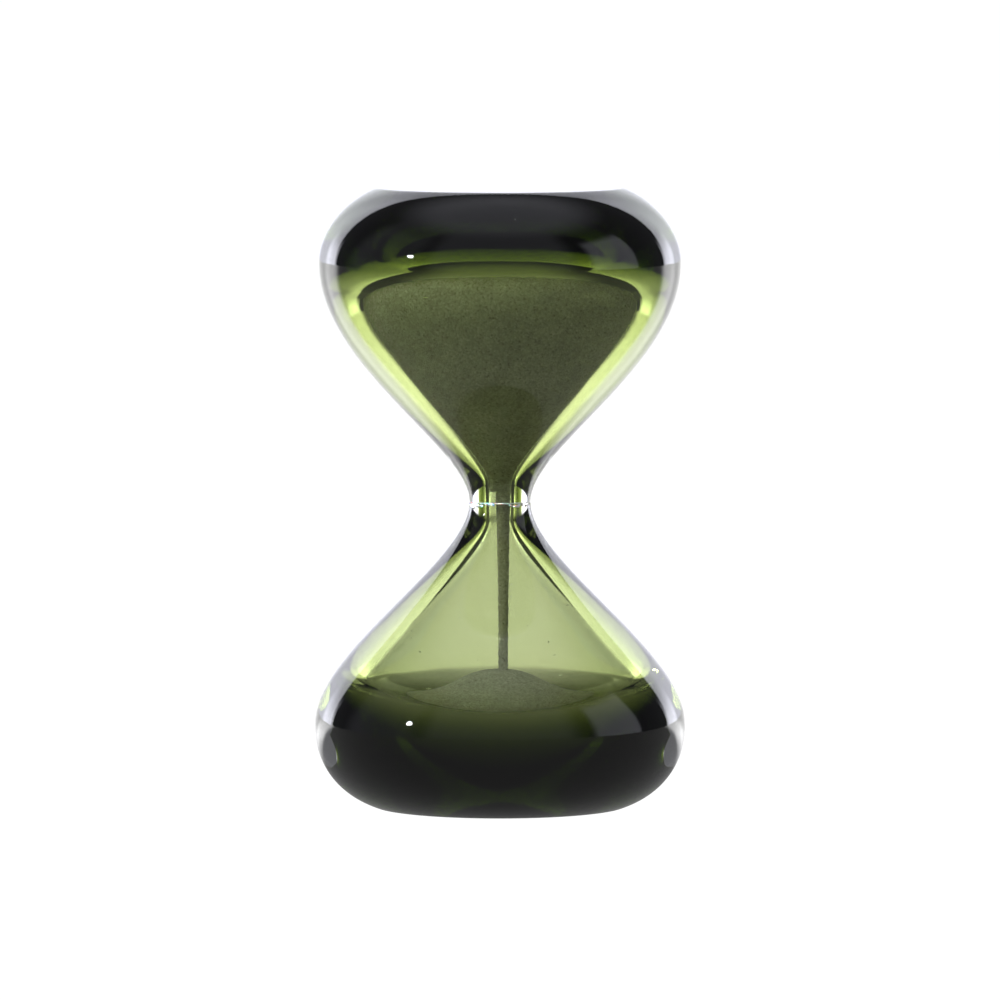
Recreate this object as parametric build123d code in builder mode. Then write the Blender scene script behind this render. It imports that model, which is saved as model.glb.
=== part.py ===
from build123d import *
from dataclasses import dataclass
from math import cos, radians, sin, tan
import os

# A frameless sand timer. Two thick drops of cased glass, clear outside and green inside, are glued
# together at their necks. Millimetres, standing on Z = 0 with its axis on +Z.


@dataclass
class Half:
    """Sizes of one glass half. Its heights run from its flat face to its joint face."""

    length: float  # flat face to joint face
    face_radius: float  # ground flat face
    face_edge_slope: float  # degrees between the flat face and the shoulder beside it
    bulb_radius: float  # widest ring of the outside
    bulb_height: float
    shoulder_pull: float  # how far the shoulder keeps its direction at its two ends
    flank_pull: float  # how far the flank stays upright past the widest ring
    waist_pull: float  # how far it is upright again before the joint
    solid_end: float  # glass between the flat face and the hollow
    hollow_end_radius: float  # flat middle of the hollow's wide end
    hollow_end_pull: float
    side_wall: float  # clear and green glass between the widest rings of outside and hollow
    hollow_height: float  # widest ring of the hollow
    hollow_bowl_pull: float
    hollow_flank_pull: float
    throat_pull: float
    bore_length: float  # straight part of the hollow, beside the joint face
    lining_end: float  # green glass at the wide end of the hollow, where it was gathered first
    lining_end_spread: float  # how much further out than the hollow's end it stays flat

    @property
    def hollow_radius(self):
        return self.bulb_radius - self.side_wall


lower = Half(
    length=73.8,
    face_radius=30.5,
    face_edge_slope=19.0,
    bulb_radius=45.0,
    bulb_height=20.0,
    shoulder_pull=9.6,
    flank_pull=17.5,
    waist_pull=14.3,
    solid_end=11.5,
    hollow_end_radius=6.0,
    hollow_end_pull=11.0,
    side_wall=12.0,
    hollow_height=28.0,
    hollow_bowl_pull=8.0,
    hollow_flank_pull=6.5,
    throat_pull=9.5,
    bore_length=5.3,
    lining_end=1.6,
    lining_end_spread=3.0,
)
upper = Half(
    length=75.9,
    face_radius=30.0,
    face_edge_slope=22.0,
    bulb_radius=43.9,
    bulb_height=18.3,
    shoulder_pull=8.0,
    flank_pull=24.6,
    waist_pull=12.7,
    solid_end=13.5,
    hollow_end_radius=11.0,
    hollow_end_pull=13.0,
    side_wall=10.7,
    hollow_height=24.5,
    hollow_bowl_pull=6.5,
    hollow_flank_pull=14.0,
    throat_pull=9.5,
    bore_length=5.4,
    lining_end=2.1,
    lining_end_spread=1.5,
)

waist_radius = 7.4  # outside of both halves at the joint
bore_radius = 2.75  # hole through both necks
lining_thickness = 0.8  # green glass, measured across the axis
glue_thickness = 0.3
glue_recess = 0.15  # from the outside of the waist to the edge of the glue

# Sand
upper_sand_gap = 5.2  # from the hollow's end down to the rim of the sand
upper_sand_dip = 20.0  # crater that the leaving sand draws down in the middle, at its slope of rest
upper_sand_rim = 1.5  # level sand between the crater and the widest ring of the hollow
heap_foot_rise = 5.9  # hollow's floor to the foot of the heap
heap_rise = 13.6  # foot of the heap to its tip
heap_slope = 31.0  # degrees, at the foot
heap_foot_inset = 8.3  # foot of the heap to the widest ring of the hollow
heap_top_pull = 7.0
heap_foot_pull = 12.0
stream_start = 3.4  # above the joint face of the upper half
stream_gap = 0.05  # between the stream and the side of the bore it falls along
stream_foot_radius = 1.2
stream_narrowing = 24.0  # how far the stream keeps narrowing fast below its start
stream_steady_pull = 12.0
stream_offset = 0.8  # the stream falls this far from the axis, along +X
heap_tip_margin = 0.4  # flat tip of the heap beyond the foot of the stream

upper_joint_level = lower.length + glue_thickness
total_height = upper_joint_level + upper.length
upper_sand_level = upper.solid_end + upper_sand_gap
heap_foot_level = lower.solid_end + heap_foot_rise
heap_top = heap_foot_level + heap_rise
stream_top_level = upper_joint_level + stream_start
stream_top_radius = bore_radius - stream_offset - stream_gap
heap_tip_radius = stream_offset + stream_foot_radius + heap_tip_margin

# Section planes, X outwards from the axis and Y from a half's flat face towards its joint.
lower_section = Plane.XZ
upper_section = Plane(origin=(0, 0, total_height), x_dir=(1, 0, 0), z_dir=(0, 1, 0))


def blown_section(half):
    """The closed section inside a half's outer surface."""
    slope = radians(half.face_edge_slope)
    face_rim = (half.face_radius, 0)
    past_rim = (
        half.face_radius + half.shoulder_pull * cos(slope),
        half.shoulder_pull * sin(slope),
    )
    widest = (half.bulb_radius, half.bulb_height)
    waist = (waist_radius, half.length)
    with BuildSketch() as section:
        with BuildLine():
            Line((0, 0), face_rim)
            Bezier(face_rim, past_rim, (widest[0], widest[1] - half.shoulder_pull), widest)
            Bezier(
                widest,
                (widest[0], widest[1] + half.flank_pull),
                (waist[0], waist[1] - half.waist_pull),
                waist,
            )
            Line(waist, (0, half.length))
            Line((0, half.length), (0, 0))
        make_face()
    return section.sketch


def hollow_section(half, wall=0, end_wall=0, end_spread=0):
    """The closed section of a half's hollow, let out by a wall all round and by another at its end."""
    floor = half.solid_end - end_wall
    floor_rim = (half.hollow_end_radius + end_spread, floor)
    widest = (half.hollow_radius + wall, half.hollow_height)
    throat = (bore_radius + wall, half.length - half.bore_length)
    with BuildSketch() as section:
        with BuildLine():
            Line((0, floor), floor_rim)
            Bezier(
                floor_rim,
                (floor_rim[0] + half.hollow_end_pull, floor),
                (widest[0], widest[1] - half.hollow_bowl_pull),
                widest,
            )
            Bezier(
                widest,
                (widest[0], widest[1] + half.hollow_flank_pull),
                (throat[0], throat[1] - half.throat_pull),
                throat,
            )
            Line(throat, (throat[0], half.length))
            Line((throat[0], half.length), (0, half.length))
            Line((0, half.length), (0, floor))
        make_face()
    return section.sketch


def cased_section(half):
    """The closed section inside the outside of a half's green glass."""
    return hollow_section(half, lining_thickness, half.lining_end, half.lining_end_spread)


# The six sections that the pieces are made from, three to a half
lower_blown = blown_section(lower)
lower_cased = cased_section(lower)
lower_hollow = hollow_section(lower)
upper_blown = blown_section(upper)
upper_cased = cased_section(upper)
upper_hollow = hollow_section(upper)


os.makedirs("parts", exist_ok=True)

# Lower half
with BuildPart() as lower_clear_casing:
    with BuildSketch(lower_section):
        add(lower_blown)
        add(lower_cased, mode=Mode.SUBTRACT)
    revolve(axis=Axis.Z)
lower_clear_casing.part.label = "lower_clear_casing"
export_step(lower_clear_casing.part, "parts/lower_clear_casing.step")

with BuildPart() as lower_green_lining:
    with BuildSketch(lower_section):
        add(lower_cased)
        add(lower_hollow, mode=Mode.SUBTRACT)
    revolve(axis=Axis.Z)
lower_green_lining.part.label = "lower_green_lining"
export_step(lower_green_lining.part, "parts/lower_green_lining.step")

# Upper half
with BuildPart() as upper_clear_casing:
    with BuildSketch(upper_section):
        add(upper_blown)
        add(upper_cased, mode=Mode.SUBTRACT)
    revolve(axis=Axis.Z)
upper_clear_casing.part.label = "upper_clear_casing"
export_step(upper_clear_casing.part, "parts/upper_clear_casing.step")

with BuildPart() as upper_green_lining:
    with BuildSketch(upper_section):
        add(upper_cased)
        add(upper_hollow, mode=Mode.SUBTRACT)
    revolve(axis=Axis.Z)
upper_green_lining.part.label = "upper_green_lining"
export_step(upper_green_lining.part, "parts/upper_green_lining.step")

# Glue film between the two ground joint faces, open in the middle for the sand
with BuildPart() as joint_adhesive:
    with BuildSketch(Plane.XY.offset(lower.length)):
        Circle(waist_radius - glue_recess)
        Circle(bore_radius, mode=Mode.SUBTRACT)
    extrude(amount=glue_thickness)
joint_adhesive.part.label = "joint_adhesive"
export_step(joint_adhesive.part, "parts/joint_adhesive.step")

# Sand still to fall. It fills the hollow from its level down to where the stream breaks away.
with BuildPart() as upper_sand:
    with BuildSketch(upper_section):
        add(upper_hollow)
        dip_centre = (0, upper_sand_level + upper_sand_dip)
        dip_rim = (upper.hollow_radius - upper_sand_rim, upper_sand_level)
        sand_end = upper.length - stream_start
        with BuildLine():
            Line(dip_centre, dip_rim)
            Line(dip_rim, (upper.bulb_radius, upper_sand_level))
            Line((upper.bulb_radius, upper_sand_level), (upper.bulb_radius, sand_end))
            Line((upper.bulb_radius, sand_end), (0, sand_end))
            Line((0, sand_end), dip_centre)
        make_face(mode=Mode.INTERSECT)
    revolve(axis=Axis.Z)
upper_sand.part.label = "upper_sand"
export_step(upper_sand.part, "parts/upper_sand.step")

# Falling sand, from the end of the upper sand to the tip of the heap
with BuildPart() as sand_stream:
    with BuildSketch(Plane(origin=(stream_offset, 0, 0), x_dir=(1, 0, 0), z_dir=(0, -1, 0))):
        stream_rim = (stream_top_radius, stream_top_level)
        with BuildLine():
            Line((0, stream_top_level), stream_rim)
            Bezier(
                stream_rim,
                (stream_foot_radius, stream_top_level - stream_narrowing),
                (stream_foot_radius, heap_top + stream_steady_pull),
                (stream_foot_radius, heap_top),
            )
            Line((stream_foot_radius, heap_top), (0, heap_top))
            Line((0, heap_top), (0, stream_top_level))
        make_face()
    revolve(axis=Axis((stream_offset, 0, 0), (0, 0, 1)))
sand_stream.part.label = "sand_stream"
export_step(sand_stream.part, "parts/sand_stream.step")

# Heap of fallen sand, level near the wall and rising to a small flat tip under the stream
with BuildPart() as lower_sand:
    with BuildSketch(lower_section):
        add(lower_hollow)
        heap_tip = (heap_tip_radius, heap_top)
        heap_foot = (lower.hollow_radius - heap_foot_inset, heap_foot_level)
        above_foot = heap_foot_level + heap_foot_pull * tan(radians(heap_slope))
        with BuildLine():
            Line((0, heap_top), heap_tip)
            Bezier(
                heap_tip,
                (heap_tip[0] + heap_top_pull, heap_top),
                (heap_foot[0] - heap_foot_pull, above_foot),
                heap_foot,
            )
            Line(heap_foot, (lower.bulb_radius, heap_foot_level))
            Line((lower.bulb_radius, heap_foot_level), (lower.bulb_radius, 0))
            Line((lower.bulb_radius, 0), (0, 0))
            Line((0, 0), (0, heap_top))
        make_face(mode=Mode.INTERSECT)
    revolve(axis=Axis.Z)
lower_sand.part.label = "lower_sand"
export_step(lower_sand.part, "parts/lower_sand.step")
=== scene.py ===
import math
import random

import bpy
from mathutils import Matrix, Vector


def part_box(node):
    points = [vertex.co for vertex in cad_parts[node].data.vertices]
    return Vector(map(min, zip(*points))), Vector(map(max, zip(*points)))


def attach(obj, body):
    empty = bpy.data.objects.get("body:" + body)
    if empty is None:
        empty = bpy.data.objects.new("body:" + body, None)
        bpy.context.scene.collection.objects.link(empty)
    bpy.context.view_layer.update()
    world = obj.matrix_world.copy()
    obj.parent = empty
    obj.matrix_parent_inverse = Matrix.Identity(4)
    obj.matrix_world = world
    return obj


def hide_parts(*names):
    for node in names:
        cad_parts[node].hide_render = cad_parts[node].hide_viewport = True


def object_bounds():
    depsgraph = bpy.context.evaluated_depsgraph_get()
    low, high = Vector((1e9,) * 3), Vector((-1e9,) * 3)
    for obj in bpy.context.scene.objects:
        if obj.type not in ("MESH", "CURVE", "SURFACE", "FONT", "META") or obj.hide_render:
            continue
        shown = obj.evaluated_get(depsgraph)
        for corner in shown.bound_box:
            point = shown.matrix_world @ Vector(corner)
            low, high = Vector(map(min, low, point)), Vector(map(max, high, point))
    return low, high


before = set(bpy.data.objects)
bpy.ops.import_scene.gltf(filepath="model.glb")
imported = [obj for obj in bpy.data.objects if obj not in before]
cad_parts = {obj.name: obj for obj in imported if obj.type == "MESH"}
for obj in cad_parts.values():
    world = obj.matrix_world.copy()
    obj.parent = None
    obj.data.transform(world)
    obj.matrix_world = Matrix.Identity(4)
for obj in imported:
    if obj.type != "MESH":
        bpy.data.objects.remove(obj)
cad_low, cad_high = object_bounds()

MM = 0.001

# How finely the round pieces are drawn and turned
TURN_STEPS = 160
CURVE_STEPS = 32
GLUE_TURN_STEPS = 96
GLUE_CURVE_STEPS = 3
STREAM_TURN_STEPS = 36
STREAM_CURVE_STEPS = 150
SEAM_CLEARANCE = 0.001 * MM
SLIVER = SEAM_CLEARANCE / 10
HALVINGS = 40

# Edges sharper than this many degrees stay crisp
GLASS_CREASE = 30.0
SAND_CREASE = 40.0
STREAM_CREASE = 60.0

# Walls and gaps, the same as the drawn hourglass
LINING_THICKNESS = 0.8 * MM
LINING_CLEARANCE = 0.03 * MM
SAND_CLEARANCE = 0.1 * MM
BORE_RADIUS = 2.75 * MM
WAIST_RADIUS = 7.4 * MM
GLUE_RECESS = 0.15 * MM
GLUE_CLEARANCE = 0.02 * MM

# Crater in the standing sand
CRATER_DEPTH = 20.0 * MM
CRATER_RIM = 1.5 * MM
CRATER_FOOT = 3.0 * MM
CRATER_EDGE = 6.0 * MM
SAND_EDGE = 0.6 * MM

# Heap and stream
HEAP_RISE = 13.6 * MM
HEAP_SLOPE = math.radians(31.0)
HEAP_FOOT_INSET = 8.3 * MM
HEAP_FOOT_PULL = 12.0 * MM
HEAP_TOP_PULL = 7.0 * MM
HEAP_TIP_RADIUS = 2.4 * MM
STREAM_FOOT_RADIUS = 1.2 * MM
STREAM_NARROWING = 24.0 * MM
STREAM_STEADY_PULL = 12.0 * MM
STREAM_RAGGEDNESS = {"size": 0.7 * MM, "depth": 0.55 * MM, "level": 0.62}

# Lumps of squeezed-out glue: first and last turn in degrees, how many, and their size.
# Each pair below is the least share of a lump's size and how much more chance may add.
GLUE_LUMPS = (
    (-78.0, -34.0, 6, 0.62 * MM),
    (-30.0, -8.0, 4, 0.24 * MM),
    (16.0, 76.0, 8, 0.42 * MM),
    (120.0, 230.0, 9, 0.36 * MM),
)
GLUE_DICE = 7
LUMP_STANDOFF = -0.1 * MM
LUMP_WANDER = 0.7
LUMP_DROP = (0.6, 0.8)
LUMP_LENGTH = (1.0, 1.0)
LUMP_THICKNESS = 0.45
LUMP_HEIGHT = (0.5, 0.6)
LUMP_RAGGEDNESS = {"size": 0.5 * MM, "depth": 0.3 * MM, "level": 0.5}

# Loose grains. A pair is the least and how much more chance may add, in millimetres unless noted.
GRAIN_DICE = 11
WALL_GRAINS = 34
WALL_GRAIN_RADIUS = (0.11, 0.09)
WALL_GRAIN_HEIGHT = (31.0, 32.0)
WALL_GRAIN_CROWDING = 1.4  # the more, the more of them lie low
WALL_GRAIN_INSET = 1.6  # times the grain's radius
STRAY_GRAINS = 26
STRAY_GRAIN_RADIUS = (0.12, 0.08)
STRAY_GRAIN_REACH = (0.15, 0.9)
STRAY_GRAIN_CROWDING = 2  # the more, the more of them lie near the stream
STRAY_GRAIN_RISE = (0.04, 0.62)  # share of the stream's height

# Air bubbles in the glass: place and radius, in millimetres
SEED_BUBBLES = (
    (3.2, -24.0, 139.6, 0.16),
    (15.2, -30.0, 131.5, 0.13),
    (-21.0, 18.0, 12.0, 0.14),
    (24.0, 21.0, 141.0, 0.15),
    (-9.0, 35.0, 128.0, 0.12),
)


class Half:
    """One blown half: its outline and hollow, with heights from its flat face to its joint face."""

    def __init__(self, casing, lining, turned_over, face_edge_slope, **sizes):
        self.turned_over = turned_over
        low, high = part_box(casing)
        self.face_level = high.z if turned_over else low.z
        self.length = high.z - low.z
        self.bulb_radius = high.x
        low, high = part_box(lining)
        self.hollow_radius = high.x - LINING_THICKNESS
        self.face_edge_slope = math.radians(face_edge_slope)
        for name, size in sizes.items():
            setattr(self, name, size * MM)
        lining_level = high.z if turned_over else low.z
        self.solid_end = abs(self.face_level - lining_level) + self.lining_end

    def height(self, level):
        """A level in the object, as a height in this half."""
        return self.face_level - level if self.turned_over else level - self.face_level

    def level(self, height):
        """A height in this half, as a level in the object."""
        return self.face_level - height if self.turned_over else self.face_level + height


lower = Half(
    "lower_clear_casing",
    "lower_green_lining",
    turned_over=False,
    face_radius=30.5,
    face_edge_slope=19.0,
    bulb_height=20.0,
    shoulder_pull=9.6,
    flank_pull=17.5,
    waist_pull=14.3,
    hollow_end_radius=6.0,
    hollow_end_pull=11.0,
    hollow_height=28.0,
    hollow_bowl_pull=8.0,
    hollow_flank_pull=6.5,
    throat_pull=9.5,
    bore_length=5.3,
    lining_end=1.6,
    lining_end_spread=3.0,
)
upper = Half(
    "upper_clear_casing",
    "upper_green_lining",
    turned_over=True,
    face_radius=30.0,
    face_edge_slope=22.0,
    bulb_height=18.3,
    shoulder_pull=8.0,
    flank_pull=24.6,
    waist_pull=12.7,
    hollow_end_radius=11.0,
    hollow_end_pull=13.0,
    hollow_height=24.5,
    hollow_bowl_pull=6.5,
    hollow_flank_pull=14.0,
    throat_pull=9.5,
    bore_length=5.4,
    lining_end=2.1,
    lining_end_spread=1.5,
)


# ---------------------------------------------------------------- outlines


class Outline:
    """Half a section, drawn from the axis outwards and back as lines and Bezier curves."""

    def __init__(self, start):
        self.pieces = []
        self.end = start

    def line(self, point):
        """A straight stretch, as a curve with its handles a third of the way in."""
        first = self.end
        third = ((point[0] - first[0]) / 3, (point[1] - first[1]) / 3)
        handle = (first[0] + third[0], first[1] + third[1])
        next_handle = (point[0] - third[0], point[1] - third[1])
        return self.curve(handle, next_handle, point)

    def curve(self, handle, next_handle, point):
        return self.along((self.end, handle, next_handle, point))

    def along(self, *pieces):
        """Go on along finished curves, the first of which starts where this ends."""
        self.pieces += pieces
        self.end = pieces[-1][3]
        return self


def point_on(piece, share):
    """The point a share of the way along a curve."""
    rest = 1 - share
    weights = (rest**3, 3 * rest * rest * share, 3 * rest * share * share, share**3)
    return tuple(sum(w * p[i] for w, p in zip(weights, piece)) for i in (0, 1))


def share_at_height(piece, height):
    """How far along a rising or falling curve it passes a height."""
    low, high = 0.0, 1.0
    rising = piece[3][1] > piece[0][1]
    for _ in range(HALVINGS):
        middle = (low + high) / 2
        if (point_on(piece, middle)[1] < height) == rising:
            low = middle
        else:
            high = middle
    return low


def part_of(piece, start, end):
    """The stretch of a curve between two shares of it, as a curve of its own."""

    def slope(share):
        rest = 1 - share
        return tuple(
            3
            * (
                rest * rest * (piece[1][i] - piece[0][i])
                + 2 * rest * share * (piece[2][i] - piece[1][i])
                + share * share * (piece[3][i] - piece[2][i])
            )
            for i in (0, 1)
        )

    first, last = point_on(piece, start), point_on(piece, end)
    reach = (end - start) / 3
    first_slope, last_slope = slope(start), slope(end)
    return (
        first,
        (first[0] + reach * first_slope[0], first[1] + reach * first_slope[1]),
        (last[0] - reach * last_slope[0], last[1] - reach * last_slope[1]),
        last,
    )


def blown_outline(half):
    """The outer surface, from the middle of the flat face to the outside of the waist."""
    slope = half.face_edge_slope
    rim = (half.face_radius, 0.0)
    past_rim = (
        half.face_radius + half.shoulder_pull * math.cos(slope),
        half.shoulder_pull * math.sin(slope),
    )
    widest = (half.bulb_radius, half.bulb_height)
    waist = (WAIST_RADIUS, half.length)
    drawn = Outline((0.0, 0.0))
    drawn.line(rim)
    drawn.curve(past_rim, (widest[0], widest[1] - half.shoulder_pull), widest)
    drawn.curve(
        (widest[0], widest[1] + half.flank_pull),
        (waist[0], waist[1] - half.waist_pull),
        waist,
    )
    return drawn


def hollow_curves(half, wall, end_wall=None, end_spread=0.0):
    """The hollow's bowl and flank, let out by a wall all round and by another at its end."""
    end_wall = wall if end_wall is None else end_wall
    floor_rim = (half.hollow_end_radius + end_spread, half.solid_end - end_wall)
    widest = (half.hollow_radius + wall, half.hollow_height)
    throat = (BORE_RADIUS + wall, half.length - half.bore_length)
    bowl = (
        floor_rim,
        (floor_rim[0] + half.hollow_end_pull, floor_rim[1]),
        (widest[0], widest[1] - half.hollow_bowl_pull),
        widest,
    )
    flank = (
        widest,
        (widest[0], widest[1] + half.hollow_flank_pull),
        (throat[0], throat[1] - half.throat_pull),
        throat,
    )
    return bowl, flank


def backwards(piece):
    return tuple(reversed(piece))


# ---------------------------------------------------------------- turning


def only(*objects):
    """Leave just these objects selected."""
    if bpy.context.mode != "OBJECT":
        bpy.ops.object.mode_set(mode="OBJECT")
    bpy.ops.object.select_all(action="DESELECT")
    for each in objects:
        each.select_set(True)
    bpy.context.view_layer.objects.active = objects[0]


def drawn_wire(name, pieces, half=None, aside=0.0, fineness=CURVE_STEPS):
    """The outline as a row of edges in the XZ plane."""
    curve = bpy.data.curves.new(name, "CURVE")
    curve.dimensions = "3D"
    spline = curve.splines.new("BEZIER")
    spline.bezier_points.add(len(pieces))
    spline.resolution_u = fineness

    def placed(point):
        return Vector((aside + point[0], 0.0, half.level(point[1]) if half else point[1]))

    for index, knot in enumerate(spline.bezier_points):
        knot.handle_left_type = knot.handle_right_type = "FREE"
        before = pieces[index - 1] if index > 0 else None
        after = pieces[index] if index < len(pieces) else None
        knot.co = placed(after[0] if after else before[3])
        knot.handle_left = placed(before[2]) if before else knot.co
        knot.handle_right = placed(after[1]) if after else knot.co
    wire = bpy.data.objects.new(name, curve)
    bpy.context.scene.collection.objects.link(wire)
    only(wire)
    bpy.ops.object.convert(target="MESH")
    return bpy.context.view_layer.objects.active


def turned(wire, steps=TURN_STEPS, aside=0.0, crease=GLASS_CREASE):
    """Turn the wire about the axis into one closed skin with its normals outwards."""
    only(wire)
    bpy.ops.object.mode_set(mode="EDIT")
    bpy.ops.mesh.select_all(action="SELECT")
    axis_place = (aside, 0.0, 0.0)
    bpy.ops.mesh.spin(steps=steps, angle=math.tau, center=axis_place, axis=(0.0, 0.0, 1.0))
    bpy.ops.mesh.select_all(action="SELECT")
    bpy.ops.mesh.remove_doubles(threshold=SEAM_CLEARANCE)
    bpy.ops.mesh.dissolve_degenerate(threshold=SLIVER)
    bpy.ops.mesh.normals_make_consistent(inside=False)
    bpy.ops.object.mode_set(mode="OBJECT")
    bpy.ops.object.shade_smooth_by_angle(angle=math.radians(crease))
    return wire


def roughened(piece, size, depth, level):
    """Work a fine unevenness into a skin, and keep it."""
    grain = bpy.data.textures.new(piece.name + "_grain", "CLOUDS")
    grain.noise_scale = size
    only(piece)
    uneven = piece.modifiers.new("uneven", "DISPLACE")
    uneven.texture = grain
    uneven.texture_coords = "LOCAL"
    uneven.strength = depth
    uneven.mid_level = level
    bpy.ops.object.modifier_apply(modifier=uneven.name)
    return piece


def joined(*pieces):
    """Make one object of several."""
    only(*pieces)
    bpy.ops.object.join()
    return bpy.context.view_layer.objects.active


def set_in(piece, material, node=None):
    """Give a finished piece its material and its place in the assembly."""
    piece.data.materials.clear()
    piece.data.materials.append(material)
    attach(piece, "root")
    if node:
        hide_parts(node)


# ---------------------------------------------------------------- pieces


def blown_glass(half, name):
    """A half's glass in one skin: flat face, bulb, neck, joint face and the hollow."""
    bowl, flank = hollow_curves(half, 0.0)
    drawn = blown_outline(half)
    drawn.line((BORE_RADIUS, half.length))
    drawn.line(flank[3])
    drawn.along(backwards(flank), backwards(bowl))
    drawn.line((0.0, half.solid_end))
    return turned(drawn_wire(name, drawn.pieces, half))


def green_layer(half, name):
    """The green glass just behind the wall of the hollow."""
    near_bowl, near_flank = hollow_curves(half, LINING_CLEARANCE)
    far_bowl, far_flank = hollow_curves(
        half, LINING_THICKNESS, half.lining_end, half.lining_end_spread
    )
    mouth = half.length - GLUE_CLEARANCE
    drawn = Outline((0.0, near_bowl[0][1]))
    drawn.line(near_bowl[0])
    drawn.along(near_bowl, near_flank)
    drawn.line((near_flank[3][0], mouth))
    drawn.line((far_flank[3][0], mouth))
    drawn.line(far_flank[3])
    drawn.along(backwards(far_flank), backwards(far_bowl))
    drawn.line((0.0, far_bowl[0][1]))
    return turned(drawn_wire(name, drawn.pieces, half))


def standing_sand(name):
    """Sand still in the upper bulb, drawn down in the middle and running into the bore."""
    bowl, flank = hollow_curves(upper, -SAND_CLEARANCE)
    rim_height = upper.height(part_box("upper_sand")[1].z)
    end_height = upper.height(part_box("upper_sand")[0].z)
    start = share_at_height(bowl, rim_height)
    wall = part_of(bowl, start, 1.0)
    edge_radius = wall[0][0]
    crater_radius = upper.hollow_radius - CRATER_RIM
    crater_height = rim_height + CRATER_DEPTH
    drawn = Outline((0.0, crater_height))
    drawn.curve(
        (CRATER_FOOT, crater_height),
        (crater_radius - CRATER_EDGE, rim_height + CRATER_EDGE * CRATER_DEPTH / crater_radius),
        (min(crater_radius, edge_radius - SAND_EDGE), rim_height),
    )
    drawn.curve(
        (edge_radius - SAND_EDGE / 2, rim_height),
        (edge_radius - SAND_EDGE / 4, rim_height),
        wall[0],
    )
    drawn.along(wall, flank)
    drawn.line((flank[3][0], end_height))
    drawn.line((0.0, end_height))
    return turned(drawn_wire(name, drawn.pieces, upper), crease=SAND_CREASE)


def sand_heap(name):
    """Fallen sand, lying in the bowl of the lower bulb."""
    bowl, _ = hollow_curves(lower, -SAND_CLEARANCE)
    tip_height = lower.height(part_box("lower_sand")[1].z)
    foot_height = tip_height - HEAP_RISE
    foot = (lower.hollow_radius - HEAP_FOOT_INSET, foot_height)
    wall = part_of(bowl, 0.0, share_at_height(bowl, foot_height))
    drawn = Outline((0.0, bowl[0][1]))
    drawn.line(bowl[0])
    drawn.along(wall)
    drawn.line(foot)
    drawn.curve(
        (foot[0] - HEAP_FOOT_PULL, foot_height + HEAP_FOOT_PULL * math.tan(HEAP_SLOPE)),
        (HEAP_TIP_RADIUS + HEAP_TOP_PULL, tip_height),
        (HEAP_TIP_RADIUS, tip_height),
    )
    drawn.line((0.0, tip_height))
    return turned(drawn_wire(name, drawn.pieces, lower), crease=SAND_CREASE)


def falling_sand(name):
    """The stream, ragged along its edge."""
    low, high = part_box("sand_stream")
    aside = (low.x + high.x) / 2
    top_radius = (high.x - low.x) / 2
    drawn = Outline((0.0, high.z))
    drawn.line((top_radius, high.z))
    drawn.curve(
        (STREAM_FOOT_RADIUS, high.z - STREAM_NARROWING),
        (STREAM_FOOT_RADIUS, low.z + STREAM_STEADY_PULL),
        (STREAM_FOOT_RADIUS, low.z),
    )
    drawn.line((0.0, low.z))
    wire = drawn_wire(name, drawn.pieces, aside=aside, fineness=STREAM_CURVE_STEPS)
    stream = turned(wire, STREAM_TURN_STEPS, aside, STREAM_CREASE)
    return roughened(stream, **STREAM_RAGGEDNESS)


def chance(dice, least, more):
    """A size between the least and as much more."""
    return least + more * dice.random()


def glue_bead(name):
    """Glue film between the joint faces, with the lumps that were squeezed out below the seam."""
    low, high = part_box("joint_adhesive")
    bottom, top = low.z + GLUE_CLEARANCE, high.z - GLUE_CLEARANCE
    inside, outside = BORE_RADIUS, WAIST_RADIUS - GLUE_RECESS
    drawn = Outline((inside, bottom))
    for corner in ((outside, bottom), (outside, top), (inside, top), (inside, bottom)):
        drawn.line(corner)
    wire = drawn_wire(name, drawn.pieces, fineness=GLUE_CURVE_STEPS)
    film = turned(wire, GLUE_TURN_STEPS)
    lumps = []
    dice = random.Random(GLUE_DICE)
    out = WAIST_RADIUS + LUMP_STANDOFF
    for start, end, count, size in GLUE_LUMPS:
        for index in range(count):
            step = index + dice.random() * LUMP_WANDER
            turn = math.radians(start + (end - start) * step / count)
            drop = size * chance(dice, *LUMP_DROP)
            only(film)
            bpy.ops.mesh.primitive_ico_sphere_add(
                subdivisions=2,
                radius=size,
                location=(out * math.sin(turn), -out * math.cos(turn), low.z - drop),
                rotation=(dice.random(), dice.random(), turn),
                scale=(chance(dice, *LUMP_LENGTH), LUMP_THICKNESS, chance(dice, *LUMP_HEIGHT)),
            )
            lump = bpy.context.view_layer.objects.active
            bpy.ops.object.transform_apply(location=True, rotation=True, scale=True)
            roughened(lump, **LUMP_RAGGEDNESS)
            only(lump)
            bpy.ops.object.shade_smooth()
            lumps.append(lump)
    return joined(film, *lumps)


def specks(name, places, subdivisions=1):
    """Small round grains or bubbles at given places, as one piece."""
    made = []
    for *place, radius in places:
        bpy.ops.object.select_all(action="DESELECT")
        bpy.ops.mesh.primitive_ico_sphere_add(
            subdivisions=subdivisions, radius=radius, location=place
        )
        each = bpy.context.view_layer.objects.active
        bpy.ops.object.transform_apply(location=True, rotation=True, scale=True)
        bpy.ops.object.shade_smooth()
        made.append(each)
    whole = joined(*made)
    whole.name = name
    return whole


def on_hollow_wall(half, height, turn, inset):
    """A place on the wall of the hollow, a small step in from it."""
    bowl, flank = hollow_curves(half, -inset)
    piece = bowl if height < half.hollow_height else flank
    radius = point_on(piece, share_at_height(piece, height))[0]
    return radius * math.sin(turn), -radius * math.cos(turn), half.level(height)


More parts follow.
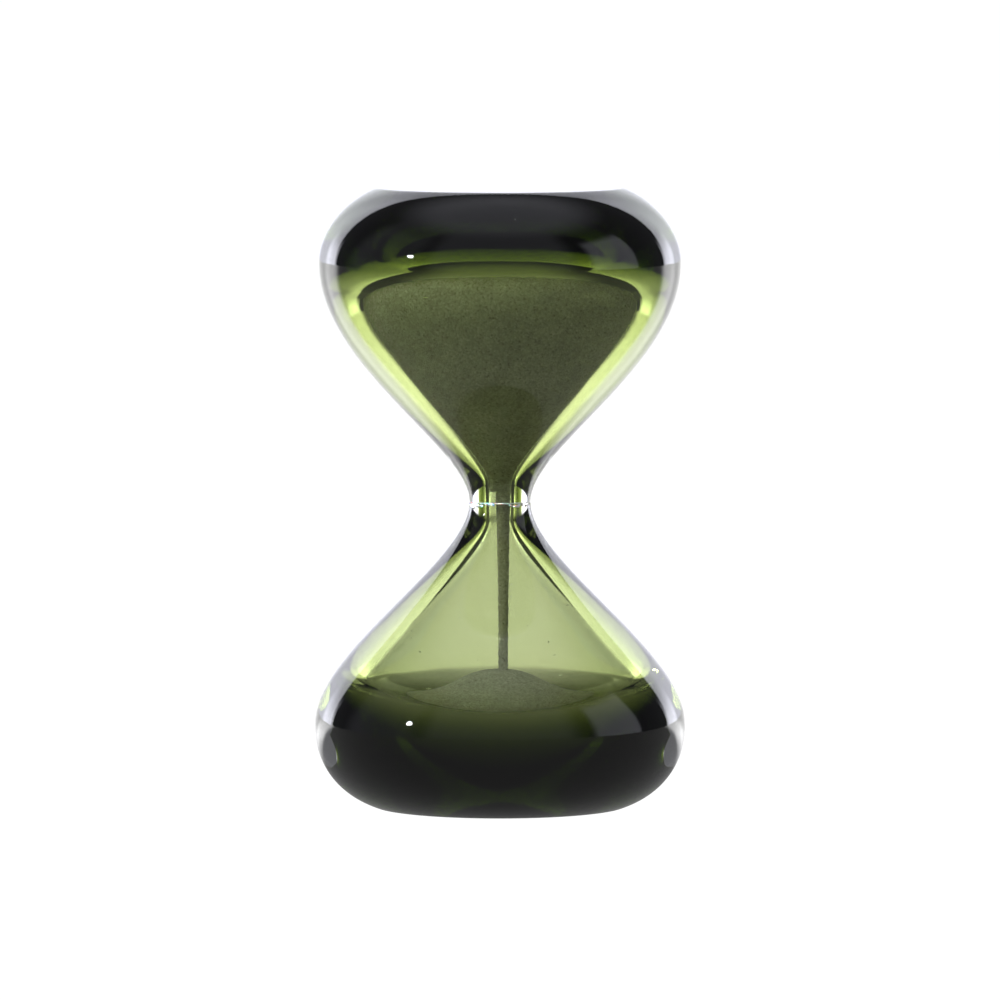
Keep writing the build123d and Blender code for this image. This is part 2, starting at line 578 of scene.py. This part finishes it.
def stuck_grains(name):
    """Grains that cling to the wall of the lower hollow, and strays beside the stream."""
    dice = random.Random(GRAIN_DICE)
    places = []
    for _ in range(WALL_GRAINS):
        radius = chance(dice, *WALL_GRAIN_RADIUS) * MM
        least, more = WALL_GRAIN_HEIGHT
        height = (least + more * dice.random() ** WALL_GRAIN_CROWDING) * MM
        turn = dice.random() * math.tau
        place = on_hollow_wall(lower, height, turn, radius * WALL_GRAIN_INSET)
        places.append((*place, radius))
    low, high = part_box("sand_stream")
    aside = (low.x + high.x) / 2
    for _ in range(STRAY_GRAINS):
        radius = chance(dice, *STRAY_GRAIN_RADIUS) * MM
        least, more = STRAY_GRAIN_REACH
        away = STREAM_FOOT_RADIUS + (least + more * dice.random() ** STRAY_GRAIN_CROWDING) * MM
        turn = dice.random() * math.tau
        z = low.z + (high.z - low.z) * chance(dice, *STRAY_GRAIN_RISE)
        places.append((aside + away * math.cos(turn), away * math.sin(turn), z, radius))
    return specks(name, places)


def seed_bubbles(name):
    """A few tiny bubbles in the thick glass."""
    return specks(name, [[size * MM for size in bubble] for bubble in SEED_BUBBLES], 2)


# ---------------------------------------------------------------- finishes

GLASS_INDEX = 1.5
LINING_INDEX = 1.0
BUBBLE_INDEX = 1.25
GREEN_TINT = (0.4208, 0.4973, 0.0, 1.0)
GREEN_DENSITY = 1143.0
SAND_GRAIN_SCALE = 2600.0
WHITE = (1.0, 1.0, 1.0)


class Finish:
    """A material and the few nodes that it is worked from."""

    def __init__(self, name):
        self.material = bpy.data.materials.new(name)
        self.material.use_nodes = True
        self.nodes = self.material.node_tree.nodes
        self.links = self.material.node_tree.links
        self.surface = self.nodes["Principled BSDF"]
        self.output = self.nodes["Material Output"]
        place = self.nodes.new("ShaderNodeTexCoord")
        self.place = place.outputs["Object"]

    def join(self, start, end):
        self.links.new(start, end)

    def noise(self, scale, detail=2.0, roughness=0.5):
        node = self.nodes.new("ShaderNodeTexNoise")
        node.inputs["Scale"].default_value = scale
        node.inputs["Detail"].default_value = detail
        node.inputs["Roughness"].default_value = roughness
        self.join(self.place, node.inputs["Vector"])
        return node.outputs["Fac"]

    def cells(self, scale, output="Color"):
        node = self.nodes.new("ShaderNodeTexVoronoi")
        node.inputs["Scale"].default_value = scale
        self.join(self.place, node.inputs["Vector"])
        return node.outputs[output]

    def ramp(self, value, *stops):
        node = self.nodes.new("ShaderNodeValToRGB")
        band = node.color_ramp
        while len(band.elements) < len(stops):
            band.elements.new(0.5)
        for element, (position, colour) in zip(band.elements, stops):
            element.position = position
            element.color = (*colour, 1.0)
        self.join(value, node.inputs["Fac"])
        return node.outputs["Color"]

    def range(self, value, low, high, result_low, result_high):
        node = self.nodes.new("ShaderNodeMapRange")
        for name, number in (
            ("From Min", low),
            ("From Max", high),
            ("To Min", result_low),
            ("To Max", result_high),
        ):
            node.inputs[name].default_value = number
        self.join(value, node.inputs["Value"])
        return node.outputs["Result"]

    def multiplied(self, first, second):
        node = self.nodes.new("ShaderNodeMix")
        node.data_type = "RGBA"
        node.blend_type = "MULTIPLY"
        node.inputs[0].default_value = 1.0
        self.join(first, node.inputs[6])
        self.join(second, node.inputs[7])
        return node.outputs[2]

    def bump(self, height, depth, strength=1.0):
        node = self.nodes.new("ShaderNodeBump")
        node.inputs["Distance"].default_value = depth
        node.inputs["Strength"].default_value = strength
        self.join(height, node.inputs["Height"])
        self.join(node.outputs["Normal"], self.surface.inputs["Normal"])

    def colour(self, result):
        self.join(result, self.surface.inputs["Base Color"])

    def see_through(self, index):
        """Clear and polished, bending light by this index."""
        self.surface.inputs["Transmission Weight"].default_value = 1.0
        self.surface.inputs["IOR"].default_value = index
        self.surface.inputs["Roughness"].default_value = 0.0


def clear_glass():
    """Heavy clear glass with the faint draw of hand work in it."""
    finish = Finish("clear_glass")
    finish.see_through(GLASS_INDEX)
    finish.colour(finish.ramp(finish.noise(22.0, 3.0), (0.3, (0.975, 0.985, 0.995)), (0.7, WHITE)))
    finish.bump(finish.noise(75.0, 1.5, 0.4), 0.06 * MM)
    return finish.material


def green_glass():
    """Olive green glass, which only tints. It lies inside the clear glass, which does the bending."""
    finish = Finish("green_glass")
    finish.see_through(LINING_INDEX)
    finish.colour(finish.ramp(finish.noise(35.0, 2.0), (0.35, (0.965, 0.98, 0.95)), (0.65, WHITE)))
    body = finish.nodes.new("ShaderNodeVolumeAbsorption")
    body.inputs["Color"].default_value = GREEN_TINT
    body.inputs["Density"].default_value = GREEN_DENSITY
    finish.join(body.outputs["Volume"], finish.output.inputs["Volume"])
    return finish.material


def fine_sand():
    """Fine dry sand, mostly pale grey with darker and lighter grains."""
    finish = Finish("fine_sand")
    grains = finish.ramp(
        finish.cells(SAND_GRAIN_SCALE),
        (0.0, (0.30, 0.29, 0.27)),
        (0.22, (0.52, 0.51, 0.48)),
        (0.7, (0.68, 0.67, 0.64)),
        (1.0, (0.86, 0.85, 0.82)),
    )
    drifts = finish.ramp(finish.noise(160.0, 5.0, 0.6), (0.3, (0.80, 0.80, 0.78)), (0.7, WHITE))
    finish.colour(finish.multiplied(grains, drifts))
    finish.surface.inputs["Roughness"].default_value = 0.92
    finish.surface.inputs["Specular IOR Level"].default_value = 0.25
    finish.bump(finish.cells(SAND_GRAIN_SCALE, "Distance"), 0.12 * MM, 0.8)
    return finish.material


def dried_glue():
    """Glue gone milky, lumpy where it was squeezed out."""
    finish = Finish("clear_glue")
    finish.colour(
        finish.ramp(finish.noise(900.0, 3.0), (0.3, (0.62, 0.62, 0.52)), (0.7, (0.93, 0.93, 0.88)))
    )
    finish.join(
        finish.range(finish.noise(1500.0, 2.0), 0.3, 0.7, 0.25, 0.55),
        finish.surface.inputs["Roughness"],
    )
    finish.surface.inputs["Subsurface Weight"].default_value = 0.3
    finish.surface.inputs["Subsurface Scale"].default_value = 0.4 * MM
    finish.bump(finish.noise(2200.0, 2.0), 0.08 * MM)
    return finish.material


def bubble_skin():
    """Tiny air bubbles caught in the glass."""
    finish = Finish("seed_bubble")
    finish.see_through(BUBBLE_INDEX)
    finish.colour(finish.ramp(finish.noise(4000.0, 1.0), (0.3, (0.9, 0.92, 0.9)), (0.7, WHITE)))
    return finish.material


# ---------------------------------------------------------------- studio


class Sky:
    """The light from each direction. Turns are measured from straight behind the object."""

    def __init__(self, tree, across, back, up):
        self.nodes = tree.nodes
        self.links = tree.links
        self.signed = self.sum("ARCTAN2", across, back)
        self.turn = self.sum("ABSOLUTE", self.signed)
        self.rise = self.sum("ARCSINE", up)
        self.away = self.sum("ARCCOSINE", back)

    def sum(self, operation, *values):
        node = self.nodes.new("ShaderNodeMath")
        node.operation = operation
        for socket, value in zip(node.inputs, values):
            if isinstance(value, (int, float)):
                socket.default_value = value
            else:
                self.links.new(value, socket)
        return node.outputs[0]

    def past(self, angle, edge, softness):
        node = self.nodes.new("ShaderNodeMapRange")
        node.interpolation_type = "SMOOTHSTEP"
        self.links.new(angle, node.inputs["Value"])
        node.inputs["From Min"].default_value = math.radians(edge - softness)
        node.inputs["From Max"].default_value = math.radians(edge + softness)
        return node.outputs["Result"]

    def between(self, angle, low, high):
        """1 between two edges, each given as its place and its softness."""
        return self.sum("SUBTRACT", self.past(angle, *low), self.past(angle, *high))

    def panel(self, turn, rise, brightness, mirrored=True):
        shape = self.sum(
            "MULTIPLY",
            self.between(self.turn if mirrored else self.signed, *turn),
            self.between(self.rise, *rise),
        )
        return self.sum("MULTIPLY", shape, brightness)

    def total(self, first, *more):
        for each in more:
            first = self.sum("ADD", first, each)
        return first


# The white backdrop: (edge, softness) pairs in degrees, and how bright it is
DOME = ((-1, 0.5), (50, 1.2))
DOME_FOOT = (-12, 4)
DOME_MIDDLE = 1.3
DOME_SHOULDER = ((26, 9), 1.0)
# Panels: two turns and two rises, as (edge, softness) in degrees, then how bright
STRIPS = (((35, 4), (52, 1.0)), ((-12, 3), (12, 8)), 2.6)
RIGHT_PANEL = (((82, 2), (118, 4)), ((-15, 3), (38, 4)), 0.8)
LEFT_FILL = (((-125, 8), (-72, 8)), ((-10, 6), (50, 10)), 0.18)
FRONT_FILL = (((132, 8), (190, 1)), ((-5, 6), (55, 10)), 0.25)
AMBIENT = 0.10
COOL_WHITE = (0.955, 0.965, 1.06)
CEILING = ((58, 12), 0.55)
# A lamp: turn, rise and radius in degrees, then how bright
LAMP = (-119.0, 20.0, 2.2, 60.0)
# Added light that only rough surfaces such as the sand receive. The glass does not mirror it.
LAMP_GLOW = (-119.0, 24.0, 10.0, 130.0)
SAND_FILL = (((100, 10), (190, 1)), ((-30, 5), (70, 5)), 0.35)
# As bright as the camera sees the backdrop and the floor, past white in every colour
BACKDROP_SEEN = 1.06


def studio_sky():
    """A white backdrop with brighter strips beside it, and a small lamp in front."""
    world = bpy.data.worlds.new("studio")
    bpy.context.scene.world = world
    world.use_nodes = True
    tree = world.node_tree
    tree.nodes.clear()
    facing = tree.nodes.new("ShaderNodeTexCoord")
    split = tree.nodes.new("ShaderNodeSeparateXYZ")
    direction = facing.outputs["Generated"]
    tree.links.new(direction, split.inputs[0])
    sky = Sky(tree, *split.outputs)
    dome = sky.sum(
        "MULTIPLY",
        sky.between(sky.away, *DOME),
        sky.past(sky.rise, *DOME_FOOT),
    )
    shoulder = sky.sum("MULTIPLY", sky.past(sky.turn, *DOME_SHOULDER[0]), DOME_SHOULDER[1])
    path = tree.nodes.new("ShaderNodeLightPath")
    on_sand = sky.sum("GREATER_THAN", path.outputs["Diffuse Depth"], 0.5)
    light = sky.total(
        sky.sum("MULTIPLY", dome, sky.sum("ADD", shoulder, DOME_MIDDLE)),
        sky.panel(*STRIPS),
        sky.panel(*RIGHT_PANEL, mirrored=False),
        sky.panel(*LEFT_FILL, mirrored=False),
        sky.panel(*FRONT_FILL),
        AMBIENT,
        lamp_disc(sky, direction, *LAMP),
        sky.sum("MULTIPLY", on_sand, lamp_disc(sky, direction, *LAMP_GLOW)),
        sky.sum("MULTIPLY", on_sand, sky.panel(*SAND_FILL)),
        sky.sum("MULTIPLY", sky.past(sky.rise, *CEILING[0]), CEILING[1]),
    )
    background = tree.nodes.new("ShaderNodeBackground")
    background.inputs["Color"].default_value = (*COOL_WHITE, 1.0)
    tree.links.new(seen_as_white(tree, light), background.inputs["Strength"])
    output = tree.nodes.new("ShaderNodeOutputWorld")
    tree.links.new(background.outputs[0], output.inputs[0])


def lamp_disc(sky, direction, turn, rise, radius, brightness):
    """A round lamp. Its place and radius are in degrees."""
    turn, rise = math.radians(turn), math.radians(rise)
    aim = sky.nodes.new("ShaderNodeVectorMath")
    aim.operation = "DOT_PRODUCT"
    aim.inputs[1].default_value = (
        math.sin(turn) * math.cos(rise),
        math.cos(turn) * math.cos(rise),
        math.sin(rise),
    )
    sky.links.new(direction, aim.inputs[0])
    disc = sky.sum("GREATER_THAN", aim.outputs["Value"], math.cos(math.radians(radius)))
    return sky.sum("MULTIPLY", disc, brightness)


def seen_as_white(tree, light):
    """What the camera sees straight is plain white; the glass sees the light itself."""
    path = tree.nodes.new("ShaderNodeLightPath")
    pick = tree.nodes.new("ShaderNodeMix")
    pick.data_type = "FLOAT"
    tree.links.new(path.outputs["Is Camera Ray"], pick.inputs[0])
    tree.links.new(light, pick.inputs[2])
    pick.inputs[3].default_value = BACKDROP_SEEN
    return pick.outputs[0]


TABLE_SIZE = 8.0
TABLE_DROP = 0.1 * MM
TABLE_GLOW = 0.28
TABLE_BEHIND = (((-1, 0.5), (54, 6)), 1.1)
TABLE_STRIPS = (((34, 6), (54, 3)), 1.4)
TABLE_SHADE_EDGES = (60.0 * MM, 170.0 * MM)


def light_table():
    """A pale floor, in the object's own shade under it and brighter behind."""
    bpy.ops.object.select_all(action="DESELECT")
    bpy.ops.mesh.primitive_plane_add(size=TABLE_SIZE, location=(0.0, 0.0, cad_low.z - TABLE_DROP))
    floor = bpy.context.view_layer.objects.active
    floor.name = "floor"
    material = bpy.data.materials.new("pale_floor")
    material.use_nodes = True
    tree = material.node_tree
    tree.nodes.clear()
    place = tree.nodes.new("ShaderNodeTexCoord")
    split = tree.nodes.new("ShaderNodeSeparateXYZ")
    tree.links.new(place.outputs["Object"], split.inputs[0])
    level = tree.nodes.new("ShaderNodeValue")
    level.outputs[0].default_value = 0.0
    glow = Sky(tree, split.outputs[0], split.outputs[1], level.outputs[0])
    distance = tree.nodes.new("ShaderNodeVectorMath")
    distance.operation = "LENGTH"
    tree.links.new(place.outputs["Object"], distance.inputs[0])
    shade = tree.nodes.new("ShaderNodeMapRange")
    shade.interpolation_type = "SMOOTHSTEP"
    tree.links.new(distance.outputs["Value"], shade.inputs["Value"])
    shade.inputs["From Min"].default_value = TABLE_SHADE_EDGES[0]
    shade.inputs["From Max"].default_value = TABLE_SHADE_EDGES[1]
    lit = glow.total(
        glow.sum("MULTIPLY", glow.between(glow.turn, *TABLE_BEHIND[0]), TABLE_BEHIND[1]),
        glow.sum("MULTIPLY", glow.between(glow.turn, *TABLE_STRIPS[0]), TABLE_STRIPS[1]),
    )
    brightness = glow.total(glow.sum("MULTIPLY", lit, shade.outputs["Result"]), TABLE_GLOW)
    shine = tree.nodes.new("ShaderNodeEmission")
    tree.links.new(seen_as_white(tree, brightness), shine.inputs["Strength"])
    output = tree.nodes.new("ShaderNodeOutputMaterial")
    tree.links.new(shine.outputs[0], output.inputs[0])
    floor.data.materials.append(material)


CAMERA_PLACE = (0.0, -2.308, 0.2467)
CAMERA_AIM = (0.0, 0.0, 0.0743)
CAMERA_LENS = 343.9
CAMERA_REACH = 50.0


def camera():
    lens = bpy.data.cameras.new("camera")
    lens.lens = CAMERA_LENS
    lens.clip_end = CAMERA_REACH
    holder = bpy.data.objects.new("camera", lens)
    bpy.context.scene.collection.objects.link(holder)
    holder.location = CAMERA_PLACE
    aim = Vector(CAMERA_AIM) - Vector(CAMERA_PLACE)
    holder.rotation_euler = aim.to_track_quat("-Z", "Y").to_euler()
    bpy.context.scene.camera = holder


# ---------------------------------------------------------------- assembly

glass = clear_glass()
green = green_glass()
sand = fine_sand()
glue = dried_glue()

set_in(blown_glass(lower, "lower_glass"), glass, "lower_clear_casing")
set_in(green_layer(lower, "lower_green_layer"), green, "lower_green_lining")
set_in(blown_glass(upper, "upper_glass"), glass, "upper_clear_casing")
set_in(green_layer(upper, "upper_green_layer"), green, "upper_green_lining")
set_in(glue_bead("glue_bead"), glue, "joint_adhesive")
set_in(standing_sand("standing_sand"), sand, "upper_sand")
set_in(falling_sand("falling_sand"), sand, "sand_stream")
set_in(sand_heap("sand_heap"), sand, "lower_sand")
set_in(stuck_grains("stuck_grains"), sand)
set_in(seed_bubbles("seed_bubbles"), bubble_skin())

studio_sky()
light_table()
camera()

scene = bpy.context.scene
scene.view_settings.view_transform = "Standard"
scene.view_settings.look = "None"
scene.cycles.max_bounces = 32
scene.cycles.transmission_bounces = 32
scene.cycles.glossy_bounces = 24
scene.cycles.volume_bounces = 2
scene.cycles.transparent_max_bounces = 32
